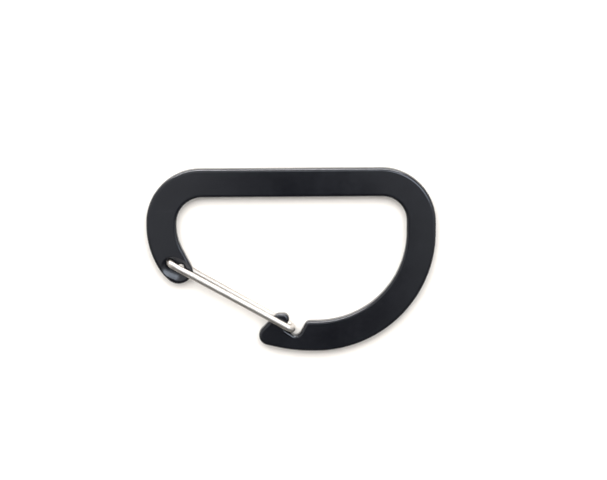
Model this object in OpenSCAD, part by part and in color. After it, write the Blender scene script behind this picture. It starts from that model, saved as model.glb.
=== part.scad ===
// Flat D-shaped keyring carabiner with a sprung wire gate.
//
// The plate lies flat: X runs along the spine, Y towards the spine and Z through the thickness.
// The origin is under the middle of the plate, level with the lowest point of the gate wire.
// The gate is one bent wire. It flexes as it opens, so its two legs are separate nodes that meet
// half way up the U-bend in the nose.

/* [Plate] */
// Overall length of the plate
plate_l = 70; // [66:0.5:74]
// Overall height of the plate, from the bow to the spine
plate_h = 44.9; // [43:0.1:47]
// Thickness of the plate
plate_t = 3; // [2.6:0.1:3.4]
// Radius of the rounding along both edges of the plate
edge_r = 0.75; // [0.4:0.05:0.8]
// Width of the straight spine
spine_w = 6.95; // [6.3:0.05:7.1]
// Width of the arm above the pivot
arm_w = 7.3; // [7.1:0.05:7.5]
// Width of the bow where it leaves the spine
side_w = 7.1; // [6.8:0.05:7.4]
// Width of the bow at its lowest point
bow_w = 7.4; // [7.2:0.05:7.5]

/* [Corner radii] */
// Outside radius of the corner above the pivot
near_r = 13.1; // [12:0.1:13.6]
// Inside radius of the corner above the pivot
near_inner_r = 6.3; // [5.5:0.1:6.5]
// Outside radius of the corner between the spine and the bow
far_r = 13.3; // [12:0.1:13.8]
// Inside radius of the corner between the spine and the bow
far_inner_r = 5.9; // [5:0.1:6]
// Outside radius of the bow
bow_r = 29.2; // [28:0.1:29.5]
// Inside radius of the bow
bow_inner_r = 21.8; // [21:0.1:22.2]

/* [Pivot lobe] */
// Radius of the pivot lobe's round end
lobe_r = 3.5; // [3.4:0.05:3.55]
// Radius of the round ends of the dished recess on each face of the lobe
dish_r = 2.65; // [2.4:0.05:2.7]
// Depth of the dished recess
dish_depth = 0.55; // [0.4:0.05:0.7]

/* [Gate wire] */
// Diameter of the gate wire
wire_d = 1.6; // [1.4:0.05:1.65]
// Centreline radius of the wire's bends
bend_r = 1.2; // [1:0.05:1.3]
// Gap between each leg of the wire and the face of the plate
leg_gap = 0.05; // [0.03:0.01:0.15]
// Radial clearance of the lower leg's pin in its hole
pin_clearance = 0.05; // [0.03:0.01:0.1]
// Extra radial clearance for the upper leg's pin, which drifts as the gate opens
pin_drift = 0.16; // [0.15:0.01:0.2]
// How far the end of each pin stays below the far face of the plate
pin_recess = 0.2; // [0.1:0.05:0.4]

/* [Hidden] */

$fn = 48;
anodised_black = [0.17, 0.18, 0.2];
spring_steel = [0.86, 0.85, 0.83];

// Greatest turn between neighbouring points on the rounded stretches of the outline
arc_step = 5;
// Facets across each rounded edge
edge_steps = 2;
// How far cutters reach past what they cut
over = 0.1;

// Heights above the ground
wire_r = wire_d / 2;
plate_z = wire_d + leg_gap;
plate_top = plate_z + plate_t;
mid_z = plate_z + plate_t / 2;
leg_lift = plate_t / 2 + leg_gap + wire_r;
pin_length = leg_lift + plate_t / 2 - pin_recess;
pin_chamfer = 0.25;

// Edges of the plate
x_right = plate_l / 2;
x_left = -plate_l / 2;
y_top = plate_h / 2;
y_bottom = -plate_h / 2;
x_arm = x_left + arm_w;
x_side = x_right - side_w;
y_spine = y_top - spine_w;
y_bow = y_bottom + bow_w;

// Centre of the pivot lobe, the two pins in it, and the two ends of the dish around them
lobe_offset = [7.6, -24.67];
upper_pin_offset = [-1.95, 1.75];
lower_pin_offset = [0.65, 0.75];
dish_offsets = [[-1.45, 0.85], [0.35, 0.12]];
lobe = [x_left, y_top] + lobe_offset;
upper_pin = lobe + upper_pin_offset;
lower_pin = lobe + lower_pin_offset;
dish_ends = [for (offset = dish_offsets) lobe + offset];
dish_sphere_r = (dish_r * dish_r + dish_depth * dish_depth) / (2 * dish_depth);

// Upright part of the wire's U-bend with the gate shut
u_bend_offset = [-35, 5.55];
u_bend = [x_right, y_bottom] + u_bend_offset;

// Corners of the arm and the lobe before rounding, [x, y, radius], measured from the lobe's centre
arm_bend = [-4.08, -0.8, 10];
lobe_end = [0.31, -4.95, lobe_r];
lobe_heel = [4.02, -0.62, 2.4];
arm_outer = [x_left - lobe.x, 5.53, 20.3];
arm_inner = [x_arm - lobe.x, 7.74, 13];

// Corners of the nose before rounding, measured from the U-bend
notch_lip = [3.56, y_bow - u_bend.y, 1.4];
notch_floor = [1.66, -1.6, 1.3];
pocket_floor = [0.61, -1.6, 0.8];
pocket_back = [-1.73, -0.02, 0.8];
hook_tip = [0.12, 3.75, 1.3];
hook_top = [-3.65, 3.75, 1.5];
nose = [-10.3, -2.92, 2.4];
bow_end = [0.15, y_bottom - u_bend.y, 42];

function from(anchor, corner) = [anchor.x + corner.x, anchor.y + corner.y, corner.z];

// Outline of the plate, anticlockwise from the bow, round the spine and back to the nose
corners = [
    [x_right, y_bottom, bow_r],
    [x_right, y_top, far_r],
    [x_left, y_top, near_r],
    from(lobe, arm_outer),
    from(lobe, arm_bend),
    from(lobe, lobe_end),
    from(lobe, lobe_heel),
    from(lobe, arm_inner),
    [x_arm, y_spine, near_inner_r],
    [x_side, y_spine, far_inner_r],
    [x_side, y_bow, bow_inner_r],
    from(u_bend, notch_lip),
    from(u_bend, notch_floor),
    from(u_bend, pocket_floor),
    from(u_bend, pocket_back),
    from(u_bend, hook_tip),
    from(u_bend, hook_top),
    from(u_bend, nose),
    from(u_bend, bow_end),
];

function heading(a, b) = atan2(b.y - a.y, b.x - a.x);

// Unit vector to the right of a heading, which points out of the plate
function outward(angle) = [sin(angle), -cos(angle)];

// Turn from one heading to another, anticlockwise positive
function turn(a, b) = (b - a + 540) % 360 - 180;

// Points of one rounded corner on the outline moved inwards by inset
function corner_points(before, here, after, inset) =
    let (
        start = heading(before, here),
        sweep = turn(start, heading(here, after)),
        side = sign(sweep),
        middle = start + sweep / 2,
        centre = [here.x, here.y] - side * here.z / cos(sweep / 2) * outward(middle),
        steps = ceil(abs(sweep) / arc_step)
    )
    [for (i = [0:steps]) centre + (side * here.z - inset) * outward(start + sweep * i / steps)];

function ring(inset) =
    let (n = len(corners))
    [
        for (i = [0:n - 1])
        each corner_points(corners[(i + n - 1) % n], corners[i], corners[(i + 1) % n], inset)
    ];

// Section of the edge cutter as [inset, height above the face], outside the rounding of radius edge_r
function on_edge(angle) = edge_r * [1 + cos(angle), sin(angle) - 1];

edge_arc = [for (i = [0:edge_steps]) on_edge(180 - 90 * i / edge_steps)];
edge_start = edge_arc[0] + over * unit(edge_arc[0] - edge_arc[1]);
edge_finish = edge_arc[edge_steps] + over * unit(edge_arc[edge_steps] - edge_arc[edge_steps - 1]);
edge_section = concat(
    [edge_start],
    [for (i = [1:edge_steps - 1]) edge_arc[i]],
    [edge_finish, [edge_start.x, edge_finish.y]]
);

function unit(v) = v / norm(v);

// Ring that follows the outline and cuts the rounding into the edge of an upward face at z = 0
module edge_cutter() {
    rings = [for (p = edge_section) ring(p.x)];
    k = len(edge_section);
    n = len(rings[0]);
    points = [for (i = [0:n - 1]) for (j = [0:k - 1]) [rings[j][i].x, rings[j][i].y, edge_section[j].y]];
    faces = [
        for (i = [0:n - 1]) for (j = [0:k - 1])
        [i * k + j, (i + 1) % n * k + j, (i + 1) % n * k + (j + 1) % k, i * k + (j + 1) % k]
    ];
    polyhedron(points, faces);
}

module pin_hole(pin, clearance) {
    translate([pin.x, pin.y, plate_z - over]) cylinder(h = plate_t + 2 * over, r = wire_r + clearance);
}

module face_cuts() {
    edge_cutter();
    hull() for (c = dish_ends) translate([c.x, c.y, dish_sphere_r - dish_depth]) sphere(dish_sphere_r);
}

module body_plate() {
    color(anodised_black)
    difference() {
        translate([0, 0, plate_z]) linear_extrude(plate_t) polygon(ring(0));
        translate([0, 0, plate_top]) face_cuts();
        translate([0, 0, plate_z]) mirror([0, 0, 1]) face_cuts();
        pin_hole(upper_pin, pin_clearance + pin_drift);
        pin_hole(lower_pin, pin_clearance);
    }
}

// Quarter bend in the XZ plane whose centre is at the origin, from start anticlockwise
module bend(start) {
    rotate([90, 0, 0]) rotate([0, 0, start]) rotate_extrude(angle = 90) translate([bend_r, 0]) circle(wire_r);
}

// One leg along X at z = 0, with its pin turned down at x = 0 and its half of the U-bend at x = span
module leg(span) {
    translate([bend_r, 0, 0]) rotate([0, 90, 0]) cylinder(h = span - 2 * bend_r, r = wire_r);
    translate([bend_r, 0, -bend_r]) bend(90);
    translate([span - bend_r, 0, -bend_r]) bend(0);
    translate([span, 0, -leg_lift]) cylinder(h = leg_lift - bend_r, r = wire_r);
    translate([0, 0, pin_chamfer - pin_length]) cylinder(h = pin_length - pin_chamfer - bend_r, r = wire_r);
    translate([0, 0, -pin_length]) cylinder(h = pin_chamfer, r1 = wire_r - pin_chamfer, r2 = wire_r);
}

module placed_leg(pin) {
    translate([pin.x, pin.y, mid_z + leg_lift]) rotate([0, 0, heading(pin, u_bend)]) leg(norm(u_bend - pin));
}

module gate_upper_leg() {
    color(spring_steel) placed_leg(upper_pin);
}

module gate_lower_leg() {
    color(spring_steel) translate([0, 0, 2 * mid_z]) mirror([0, 0, 1]) placed_leg(lower_pin);
}

body_plate();
gate_upper_leg();
gate_lower_leg();
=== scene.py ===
"""Studio scene of a flat keyring carabiner: a satin black plate and its bright wire gate, built
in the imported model's frame and lit on a pale floor."""

import math

import bmesh
import bpy
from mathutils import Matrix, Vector


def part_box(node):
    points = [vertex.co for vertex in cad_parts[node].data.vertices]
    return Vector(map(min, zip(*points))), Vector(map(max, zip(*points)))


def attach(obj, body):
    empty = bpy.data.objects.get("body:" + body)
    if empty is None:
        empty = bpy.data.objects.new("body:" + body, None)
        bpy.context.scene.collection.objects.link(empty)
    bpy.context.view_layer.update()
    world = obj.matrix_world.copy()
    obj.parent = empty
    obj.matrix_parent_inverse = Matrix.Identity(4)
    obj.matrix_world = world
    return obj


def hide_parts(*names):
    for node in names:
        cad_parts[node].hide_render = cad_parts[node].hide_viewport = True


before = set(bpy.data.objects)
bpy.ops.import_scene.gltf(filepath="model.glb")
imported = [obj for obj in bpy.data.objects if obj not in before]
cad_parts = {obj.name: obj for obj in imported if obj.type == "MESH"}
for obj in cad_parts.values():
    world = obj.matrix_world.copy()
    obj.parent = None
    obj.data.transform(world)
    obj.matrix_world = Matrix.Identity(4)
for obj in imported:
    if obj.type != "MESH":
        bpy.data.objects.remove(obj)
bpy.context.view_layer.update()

MM = 0.001

# ---------------------------------------------------------------------------------------------
# Dimensions, in metres. The plate's box comes from the frame.
# ---------------------------------------------------------------------------------------------
plate_low, plate_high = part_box("body_plate")
x_left, y_bottom, plate_z = plate_low
x_right, y_top, plate_top = plate_high
mid_z = (plate_z + plate_top) / 2

EDGE_R = 0.75 * MM
SPINE_W = 6.95 * MM
ARM_W = 7.3 * MM
SIDE_W = 7.1 * MM
BOW_W = 7.4 * MM
x_arm = x_left + ARM_W
x_side = x_right - SIDE_W
y_spine = y_top - SPINE_W
y_bow = y_bottom + BOW_W

lobe = Vector((x_left + 7.6 * MM, y_top - 24.67 * MM))
upper_pin = lobe + Vector((-1.95, 1.75)) * MM
lower_pin = lobe + Vector((0.65, 0.75)) * MM
u_bend = Vector((x_right - 35 * MM, y_bottom + 5.55 * MM))

# The dish is a shallow spherical bowl swept from one of its ends to the other, with a rolled rim
DISH_R = 2.65 * MM
DISH_DEPTH = 0.55 * MM
DISH_RIM_R = 0.35 * MM
dish_ends = (lobe + Vector((-1.45, 0.85)) * MM, lobe + Vector((0.35, 0.12)) * MM)
bowl_r = (DISH_R ** 2 + DISH_DEPTH ** 2) / (2 * DISH_DEPTH)

WIRE_R = 0.8 * MM
BEND_R = 1.2 * MM
LEG_GAP = 0.05 * MM
PIN_RECESS = 0.2 * MM
PIN_CHAMFER = 0.22 * MM
leg_lift = plate_top - mid_z + LEG_GAP + WIRE_R
UPPER_HOLE_R = WIRE_R + 0.21 * MM
LOWER_HOLE_R = WIRE_R + 0.05 * MM
HOLE_MOUTH = 0.14 * MM

# Fineness: turn between points of the outline, then steps over each rounded edge, round the wire,
# and round a circle or a half turn of a cutter
ARC_STEP = math.radians(2)
EDGE_STEPS = 8
WIRE_STEPS = 40
CUTTER_STEPS = 64


# ---------------------------------------------------------------------------------------------
# Outline of the plate
# ---------------------------------------------------------------------------------------------
def from_anchor(anchor, x, y, radius):
    """A corner at x, y from the anchor, all in millimetres apart from the anchor."""
    return anchor.x + x * MM, anchor.y + y * MM, radius * MM


def outline_corners():
    """Corners before rounding as (x, y, radius), anticlockwise from the bow back to the nose."""
    return [
        (x_right, y_bottom, 29.2 * MM),
        (x_right, y_top, 13.3 * MM),
        (x_left, y_top, 13.1 * MM),
        (x_left, lobe.y + 5.53 * MM, 20.3 * MM),
        from_anchor(lobe, -4.08, -0.8, 10),
        from_anchor(lobe, 0.31, -4.95, 3.5),
        from_anchor(lobe, 4.02, -0.62, 2.4),
        (x_arm, lobe.y + 7.74 * MM, 13 * MM),
        (x_arm, y_spine, 6.3 * MM),
        (x_side, y_spine, 5.9 * MM),
        (x_side, y_bow, 21.8 * MM),
        (u_bend.x + 3.56 * MM, y_bow, 1.4 * MM),
        from_anchor(u_bend, 1.66, -1.6, 1.3),
        from_anchor(u_bend, 0.61, -1.6, 0.8),
        from_anchor(u_bend, -1.73, -0.02, 0.8),
        from_anchor(u_bend, 0.12, 3.75, 1.3),
        from_anchor(u_bend, -3.65, 3.75, 1.5),
        from_anchor(u_bend, -10.3, -2.92, 2.4),
        (u_bend.x + 0.15 * MM, y_bottom, 42 * MM),
    ]


def outward(angle):
    """Unit vector to the right of a heading, which points out of the plate."""
    return Vector((math.sin(angle), -math.cos(angle)))


def corner_arc(before, here, after):
    """Centre, signed radius, first heading and sweep of a rounded corner."""
    start = math.atan2(here[1] - before[1], here[0] - before[0])
    finish = math.atan2(after[1] - here[1], after[0] - here[0])
    sweep = (finish - start + 3 * math.pi) % (2 * math.pi) - math.pi
    radius = math.copysign(here[2], sweep)
    centre = Vector(here[:2]) - radius / math.cos(sweep / 2) * outward(start + sweep / 2)
    return centre, radius, start, sweep


def ring(inset):
    """Points of the outline moved inwards by inset."""
    corners = outline_corners()
    points = []
    for i, here in enumerate(corners):
        centre, radius, start, sweep = corner_arc(corners[i - 1], here, corners[(i + 1) % len(corners)])
        steps = math.ceil(abs(sweep) / ARC_STEP)
        for k in range(steps + 1):
            points.append(centre + (radius - inset) * outward(start + sweep * k / steps))
    return points


# ---------------------------------------------------------------------------------------------
# Mesh helpers
# ---------------------------------------------------------------------------------------------
def new_object(name, bm):
    """Object made from a bmesh, with its normals turned outwards. The bmesh is freed."""
    bmesh.ops.recalc_face_normals(bm, faces=bm.faces)
    mesh = bpy.data.meshes.new(name)
    bm.to_mesh(mesh)
    bm.free()
    made = bpy.data.objects.new(name, mesh)
    bpy.context.scene.collection.objects.link(made)
    return made


def skin_rings(bm, rings):
    """Quads between neighbouring closed rings of vertices, and a face over each end."""
    for low, high in zip(rings, rings[1:]):
        for i in range(len(low)):
            j = (i + 1) % len(low)
            bm.faces.new((low[i], low[j], high[j], high[i]))
    bm.faces.new(rings[0])
    bm.faces.new(rings[-1])


def polar(radius, angle):
    return radius * Vector((math.cos(angle), math.sin(angle)))


def circle(centre, radius):
    return [centre + polar(radius, 2 * math.pi * i / CUTTER_STEPS) for i in range(CUTTER_STEPS)]


def round_ended(ends, radius):
    """Outline with half a turn about each end."""
    along = ends[1] - ends[0]
    base = math.atan2(along.y, along.x) - math.pi / 2
    points = []
    for end, start in ((ends[1], base), (ends[0], base + math.pi)):
        for i in range(CUTTER_STEPS + 1):
            points.append(end + polar(radius, start + math.pi * i / CUTTER_STEPS))
    return points


def cutter(plan, place, profile):
    """Closed solid whose outline plan(place, radius) follows (radius, z) points."""
    bm = bmesh.new()
    rings = [[bm.verts.new((p.x, p.y, z)) for p in plan(place, radius)] for radius, z in profile]
    skin_rings(bm, rings)
    return new_object("cutter", bm)


def cut_away(target, tool):
    """Cuts the tool out of the target's mesh for good and deletes the tool."""
    modifier = target.modifiers.new("cut", "BOOLEAN")
    modifier.operation = "DIFFERENCE"
    modifier.solver = "EXACT"
    modifier.object = tool
    evaluated = target.evaluated_get(bpy.context.evaluated_depsgraph_get())
    result = bpy.data.meshes.new_from_object(evaluated)
    target.modifiers.clear()
    target.data = result
    bpy.data.objects.remove(tool)


def shade_smooth(target, sharp_angle):
    """Smooth shading that keeps edges above the angle sharp and large flat faces flat."""
    mesh = target.data
    mesh.shade_smooth()
    bm = bmesh.new()
    bm.from_mesh(mesh)
    for edge in bm.edges:
        edge.smooth = not (len(edge.link_faces) == 2 and edge.calc_face_angle() > sharp_angle)
    bm.to_mesh(mesh)
    bm.free()
    weighted = target.modifiers.new("flat faces", "WEIGHTED_NORMAL")
    weighted.keep_sharp = True
    weighted.weight = 100


# ---------------------------------------------------------------------------------------------
# Body plate
# ---------------------------------------------------------------------------------------------
def edge_profile():
    """(inset, z) across the plate's side, from the top face round both rounded edges."""
    top = []
    for i in range(EDGE_STEPS + 1):
        angle = math.pi / 2 * i / EDGE_STEPS
        top.append((EDGE_R * (1 - math.sin(angle)), plate_top - EDGE_R * (1 - math.cos(angle))))
    return top + [(inset, 2 * mid_z - z) for inset, z in reversed(top)]


def dish_profile(face_z, up):
    """(radius, z) of the dish cutter for the face at face_z; up is 1 for the top and -1 underneath."""
    bowl_steps = 20
    # The bowl starts at a fifth of a step, as a small ring and not as a point
    first_step = 0.2
    rim_steps = 6
    # The rolled rim ends at this slope, which the cutter keeps a little further out before it rises
    last_slope = math.radians(5)
    over = 0.3 * MM
    cutter_top = 1.5 * MM

    rim_x = math.sqrt((bowl_r + DISH_RIM_R) ** 2 - (bowl_r - DISH_DEPTH + DISH_RIM_R) ** 2)
    bowl_end = math.asin(rim_x / (bowl_r + DISH_RIM_R))
    points = []
    for i in range(bowl_steps + 1):
        angle = bowl_end * max(i, first_step) / bowl_steps
        points.append((bowl_r * math.sin(angle), bowl_r * (1 - math.cos(angle)) - DISH_DEPTH))
    for i in range(1, rim_steps + 1):
        angle = bowl_end + (last_slope - bowl_end) * i / rim_steps
        points.append((rim_x - DISH_RIM_R * math.sin(angle), DISH_RIM_R * (math.cos(angle) - 1)))
    points.append((points[-1][0] + over, points[-1][1] + over * math.tan(last_slope)))
    points.append((points[-1][0], cutter_top))
    return [(radius, face_z + up * z) for radius, z in points]


def nearest_on_dish_line(point):
    """Nearest point of the line between the two ends of the dish."""
    along = dish_ends[1] - dish_ends[0]
    t = (point - dish_ends[0]).dot(along) / along.length_squared
    return dish_ends[0] + min(max(t, 0), 1) * along


def hole_profile(pin, radius):
    """(radius, z) of a pivot hole that opens out where it meets the dish on each face."""
    offset = (pin - nearest_on_dish_line(pin)).length
    floor_depth = DISH_DEPTH - bowl_r + math.sqrt(bowl_r ** 2 - offset ** 2)
    mouth_z = plate_top - floor_depth
    mouth_r = radius + 2 * HOLE_MOUTH
    top = [(radius, mid_z), (radius, mouth_z - HOLE_MOUTH), (mouth_r, mouth_z + HOLE_MOUTH),
           (mouth_r, mouth_z + 3 * HOLE_MOUTH)]
    return [(r, 2 * mid_z - z) for r, z in reversed(top[1:])] + top


def body_plate():
    """The plate with its edges rounded, a dish in each face and the two pivot holes."""
    bm = bmesh.new()
    rings = []
    for inset, z in edge_profile():
        rings.append([bm.verts.new((p.x, p.y, z)) for p in ring(inset)])
    skin_rings(bm, rings)
    plate = new_object("body_plate_finished", bm)
    for face_z, up in ((plate_top, 1), (plate_z, -1)):
        cut_away(plate, cutter(round_ended, dish_ends, dish_profile(face_z, up)))
    for pin, radius in ((upper_pin, UPPER_HOLE_R), (lower_pin, LOWER_HOLE_R)):
        cut_away(plate, cutter(circle, pin, hole_profile(pin, radius)))
    shade_smooth(plate, sharp_angle=math.radians(32))
    return plate


# ---------------------------------------------------------------------------------------------
# Gate wire
# ---------------------------------------------------------------------------------------------
def bend_points(centre, start, finish):
    """Points of a bend in the plane of the wire as (along, up)."""
    steps = 18
    angles = [start + (finish - start) * i / steps for i in range(steps + 1)]
    return [(centre[0] + BEND_R * math.cos(a), centre[1] + BEND_R * math.sin(a)) for a in angles]


def leg_path(pin, up):
    """Centreline of one leg from its pin's end to the middle of the U-bend."""
    pin_steps = 6
    straight_steps = 16
    span = (u_bend - pin).length
    along = (u_bend - pin).normalized()
    pin_end = (plate_top - mid_z) - PIN_RECESS
    bend_z = leg_lift - BEND_R
    path = [(0, -pin_end + (bend_z + pin_end) * i / pin_steps) for i in range(pin_steps)]
    path += bend_points((BEND_R, bend_z), math.pi, math.pi / 2)
    for i in range(1, straight_steps):
        path.append((BEND_R + (span - 2 * BEND_R) * i / straight_steps, leg_lift))
    path += bend_points((span - BEND_R, bend_z), math.pi / 2, 0)
    path.append((span, 0))
    return [Vector((pin.x + along.x * s, pin.y + along.y * s, mid_z + up * z)) for s, z in path]


def wire_leg(name, pin, up):
    """One leg of the gate as a round tube with an eased pin end and a grain that runs along it."""
    path = leg_path(pin, up)
    along = (u_bend - pin).normalized()
    side = Vector((-along.y, along.x, 0))
    ease = 0.35 * PIN_CHAMFER
    pin_end_sections = [(0, WIRE_R - PIN_CHAMFER), (ease, WIRE_R - ease), (PIN_CHAMFER, WIRE_R)]
    bm = bmesh.new()
    grain = bm.verts.layers.float_vector.new("grain")
    rings = []
    travelled = 0
    for i, here in enumerate(path):
        before = path[max(i - 1, 0)]
        after = path[min(i + 1, len(path) - 1)]
        travelled += (here - before).length
        tangent = (after - before).normalized()
        normal = side.cross(tangent)
        for ahead, radius in pin_end_sections if i == 0 else [(0, WIRE_R)]:
            verts = []
            for k in range(WIRE_STEPS):
                angle = 2 * math.pi * k / WIRE_STEPS
                across = math.cos(angle) * side + math.sin(angle) * normal
                vert = bm.verts.new(here + ahead * tangent + radius * across)
                vert[grain] = (math.cos(angle), math.sin(angle), travelled / WIRE_R)
                verts.append(vert)
            rings.append(verts)
    skin_rings(bm, rings)
    leg = new_object(name, bm)
    shade_smooth(leg, sharp_angle=math.radians(50))
    return leg


# ---------------------------------------------------------------------------------------------
# Materials
# ---------------------------------------------------------------------------------------------
def set_range(node, source, target):
    """Sets a Map Range node to take the source range to the target range."""
    for socket, number in zip(("From Min", "From Max", "To Min", "To Max"), (*source, *target)):
        node.inputs[socket].default_value = number


class Nodes:
    """Short calls for building one material's node tree."""

    def __init__(self, name):
        self.material = bpy.data.materials.new(name)
        self.material.use_nodes = True
        self.tree = self.material.node_tree
        self.shader = self.tree.nodes["Principled BSDF"]

    def add(self, kind, **settings):
        made = self.tree.nodes.new(kind)
        for key, value in settings.items():
            setattr(made, key, value)
        return made

    def link(self, source, target):
        self.tree.links.new(source, target)

    def noise(self, vector, scale, detail):
        made = self.add("ShaderNodeTexNoise")
        made.inputs["Scale"].default_value = scale
        made.inputs["Detail"].default_value = detail
        made.inputs["Roughness"].default_value = 0.55
        self.link(vector, made.inputs["Vector"])
        return made.outputs["Fac"]

    def scaled(self, vector, scale, rotation=(0, 0, 0)):
        made = self.add("ShaderNodeMapping")
        made.inputs["Scale"].default_value = scale
        made.inputs["Rotation"].default_value = rotation
        self.link(vector, made.inputs["Vector"])
        return made.outputs["Vector"]

    def spread(self, value, source, target):
        """Smooth step from the source range to the target range."""
        made = self.add("ShaderNodeMapRange", interpolation_type="SMOOTHSTEP")
        set_range(made, source, target)
        self.link(value, made.inputs["Value"])
        return made.outputs["Result"]

    def math(self, operation, a, b):
        made = self.add("ShaderNodeMath", operation=operation)
        for socket, value in zip(made.inputs, (a, b)):
            if isinstance(value, (int, float)):
                socket.default_value = value
            else:
                self.link(value, socket)
        return made.outputs["Value"]

    def mix(self, factor, a, b):
        made = self.add("ShaderNodeMix", data_type="RGBA")
        self.link(factor, made.inputs["Factor"])
        # A Mix node has an A and a B for each kind of data; the colours are the seventh and eighth
        for socket, value in ((made.inputs[6], a), (made.inputs[7], b)):
            if isinstance(value, tuple):
                socket.default_value = (*value, 1)
            else:
                self.link(value, socket)
        return made.outputs[2]

    def bump(self, height, distance, strength, normal=None):
        made = self.add("ShaderNodeBump")
        made.inputs["Strength"].default_value = strength
        made.inputs["Distance"].default_value = distance
        self.link(height, made.inputs["Height"])
        if normal is not None:
            self.link(normal, made.inputs["Normal"])
        return made.outputs["Normal"]


def hairline_marks(n, place):
    """Mask of fine scratches in three directions, each broken up into patches."""
    marks = None
    for turn, offset in ((0.3, 0.0), (1.2, 3.0), (2.3, 7.0)):
        stretched = n.scaled(place, (60, 5200, 60), (offset, 0, turn))
        line = n.spread(n.noise(stretched, scale=1, detail=1), (0.70, 0.76), (0, 1))
        turned = n.scaled(place, (1, 1, 1), (0, offset, 0))
        patch = n.spread(n.noise(turned, scale=220, detail=1), (0.52, 0.62), (0, 1))
        found = n.math("MULTIPLY", line, patch)
        marks = found if marks is None else n.math("MAXIMUM", marks, found)
    return marks


def anodised_black():
    """Satin black anodising: a fine blasted grain, faint mottling and a few handling hairlines."""
    n = Nodes("anodised_black")
    place = n.add("ShaderNodeTexCoord").outputs["Object"]
    grain = n.noise(place, scale=9000, detail=2)
    peel = n.noise(place, scale=900, detail=3)
    mottle = n.noise(place, scale=160, detail=4)
    hairlines = hairline_marks(n, place)

    darker, lighter = (0.0034, 0.0037, 0.0054), (0.0050, 0.0054, 0.0074)
    scratched = (0.03, 0.031, 0.034)
    colour = n.mix(n.spread(mottle, (0.3, 0.7), (0, 1)), darker, lighter)
    colour = n.mix(n.math("MULTIPLY", hairlines, 0.2), colour, scratched)
    n.link(colour, n.shader.inputs["Base Color"])

    rough = n.spread(mottle, (0.25, 0.75), (0.21, 0.235))
    rough = n.math("ADD", rough, n.spread(peel, (0.3, 0.7), (-0.015, 0.015)))
    rough = n.math("SUBTRACT", rough, n.math("MULTIPLY", hairlines, 0.05))
    n.link(rough, n.shader.inputs["Roughness"])

    normal = n.bump(grain, distance=0.004 * MM, strength=0.5)
    normal = n.bump(peel, distance=0.006 * MM, strength=0.35, normal=normal)
    n.link(normal, n.shader.inputs["Normal"])
    n.shader.inputs["IOR"].default_value = 1.5
    n.shader.inputs["Specular Tint"].default_value = (0.9, 0.93, 1, 1)
    return n.material


def drawn_wire():
    """Bright drawn spring wire with faint die lines along it."""
    n = Nodes("drawn_wire")
    grain = n.add("ShaderNodeAttribute", attribute_name="grain").outputs["Vector"]
    lines = n.noise(n.scaled(grain, (9, 9, 0.12)), scale=1, detail=3)
    smudge = n.noise(n.scaled(grain, (1.2, 1.2, 0.5)), scale=1, detail=3)
    duller, brighter = (0.45, 0.422, 0.395), (0.525, 0.498, 0.47)
    n.link(n.mix(n.spread(smudge, (0.3, 0.7), (0, 1)), duller, brighter), n.shader.inputs["Base Color"])
    n.link(n.spread(lines, (0.3, 0.7), (0.46, 0.54)), n.shader.inputs["Roughness"])
    n.link(n.bump(lines, distance=0.006 * MM, strength=0.4), n.shader.inputs["Normal"])
    n.shader.inputs["Metallic"].default_value = 1
    return n.material


def floor_paper():
    """Matt off-white card with a very faint mottle."""
    n = Nodes("floor_paper")
    place = n.add("ShaderNodeTexCoord").outputs["Object"]
    mottle = n.noise(place, scale=30, detail=2)
    n.link(n.mix(mottle, (0.82, 0.79, 0.755), (0.84, 0.81, 0.775)), n.shader.inputs["Base Color"])
    n.shader.inputs["Roughness"].default_value = 0.9
    n.shader.inputs["Specular IOR Level"].default_value = 0.2
    return n.material


def card_black():
    """Nearly perfect black, for the card that is seen only in reflections."""
    n = Nodes("card_black")
    n.shader.inputs["Base Color"].default_value = (0.002, 0.002, 0.002, 1)
    n.shader.inputs["Specular IOR Level"].default_value = 0
    return n.material


# ---------------------------------------------------------------------------------------------
# Stage, light and camera
# ---------------------------------------------------------------------------------------------
def floor():
    """Flat floor at z = 0, far larger than the object."""
    bm = bmesh.new()
    bmesh.ops.create_grid(bm, x_segments=4, y_segments=4, size=3)
    made = new_object("floor", bm)
    made.data.materials.append(floor_paper())


def sky():
    """White surroundings on the spine's side (+Y) that fade to nearly dark on the gate's side."""
    world = bpy.data.worlds.new("studio")
    bpy.context.scene.world = world
    world.use_nodes = True
    nodes, links = world.node_tree.nodes, world.node_tree.links
    direction = nodes.new("ShaderNodeTexCoord").outputs["Generated"]
    split = nodes.new("ShaderNodeSeparateXYZ")
    fade = nodes.new("ShaderNodeMapRange")
    fade.interpolation_type = "SMOOTHSTEP"
    dark_y, white_y = -0.55, 0.1
    dark, white = 0.04, 1.1
    set_range(fade, (dark_y, white_y), (dark, white))
    links.new(direction, split.inputs["Vector"])
    links.new(split.outputs["Y"], fade.inputs["Value"])
    links.new(fade.outputs["Result"], nodes["Background"].inputs["Strength"])
    nodes["Background"].inputs["Color"].default_value = (1, 0.985, 0.96, 1)


def area_light(name, place, size, power, colour, reflected):
    """Area light that faces the object, either only for reflections or only for matt surfaces."""
    lamp = bpy.data.lights.new(name, "AREA")
    lamp.shape = "RECTANGLE"
    lamp.size, lamp.size_y = size
    lamp.energy = power
    lamp.color = colour
    made = bpy.data.objects.new(name, lamp)
    made.location = place
    made.rotation_euler = (-Vector(place)).to_track_quat("-Z", "Y").to_euler()
    made.visible_camera = False
    made.visible_glossy = reflected
    made.visible_diffuse = not reflected
    bpy.context.scene.collection.objects.link(made)


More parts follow.
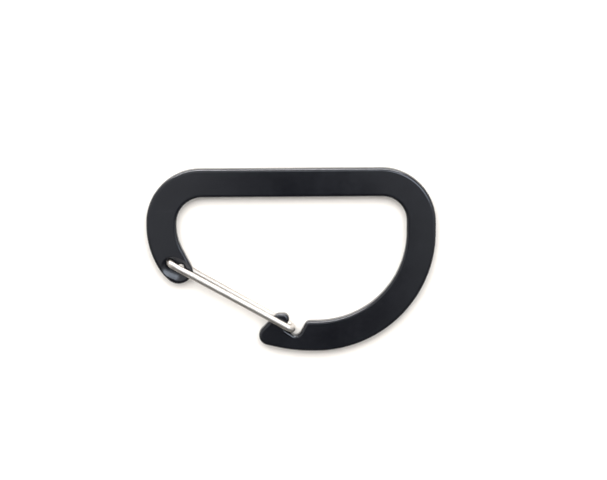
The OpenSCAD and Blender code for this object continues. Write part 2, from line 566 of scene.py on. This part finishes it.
def dark_card():
    """Black oval card over the object, seen only in reflections."""
    bm = bmesh.new()
    bmesh.ops.create_circle(bm, cap_ends=True, radius=27 * MM, segments=64)
    made = new_object("dark_card", bm)
    made.location = (4.5 * MM, -23 * MM, 130 * MM)
    made.rotation_euler.z = math.radians(10)
    made.scale = (1, 1.5, 1)
    made.data.materials.append(card_black())
    for ray in ("camera", "diffuse", "shadow", "transmission"):
        setattr(made, "visible_" + ray, False)


def lights():
    """Long low window, small high window and faint glow for the gloss, and a key light for the floor."""
    sky()
    area_light("window", place=(-0.1, 1.35, 0.19), size=(1.8, 0.2), power=50,
               colour=(1, 0.98, 0.955), reflected=True)
    area_light("high_window", place=(0.29, 0.23, 0.71), size=(0.44, 0.44), power=3.6,
               colour=(0.9, 0.98, 1.06), reflected=True)
    area_light("key", place=(-0.04, 0.52, 1.15), size=(1.0, 0.7), power=21,
               colour=(1, 1, 1), reflected=False)
    area_light("left_glow", place=(-0.096, -0.137, 0.75), size=(0.06, 0.06), power=0.006,
               colour=(0.92, 0.96, 1.06), reflected=True)
    dark_card()


def camera():
    """Long lens nearly straight above the plate, a little towards the spine's side (+Y)."""
    view_width = 146.9 * MM
    tilt = math.radians(10)
    roll = math.radians(0.42)
    lens = bpy.data.cameras.new("camera")
    lens.lens = 180
    distance = view_width * lens.lens / lens.sensor_width
    aim = Vector((3.9 * MM, 4.8 * MM, mid_z))
    made = bpy.data.objects.new("camera", lens)
    made.location = aim + distance * Vector((0, math.sin(tilt), math.cos(tilt)))
    made.rotation_euler = (-tilt, 0, -roll)
    lens.clip_start, lens.clip_end = 0.01, 10
    bpy.context.scene.collection.objects.link(made)
    bpy.context.scene.camera = made


# ---------------------------------------------------------------------------------------------
# Scene
# ---------------------------------------------------------------------------------------------
camera()
floor()
lights()

plate = body_plate()
plate.data.materials.append(anodised_black())
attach(plate, "plate")
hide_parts("body_plate")

steel = drawn_wire()
for name, pin, up, body in (("gate_wire_upper", upper_pin, 1, "upper_leg"),
                            ("gate_wire_lower", lower_pin, -1, "lower_leg")):
    leg = wire_leg(name, pin, up)
    leg.data.materials.append(steel)
    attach(leg, body)
    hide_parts("gate_" + body)

scene = bpy.context.scene
scene.view_settings.view_transform = "Standard"
scene.view_settings.look = "None"
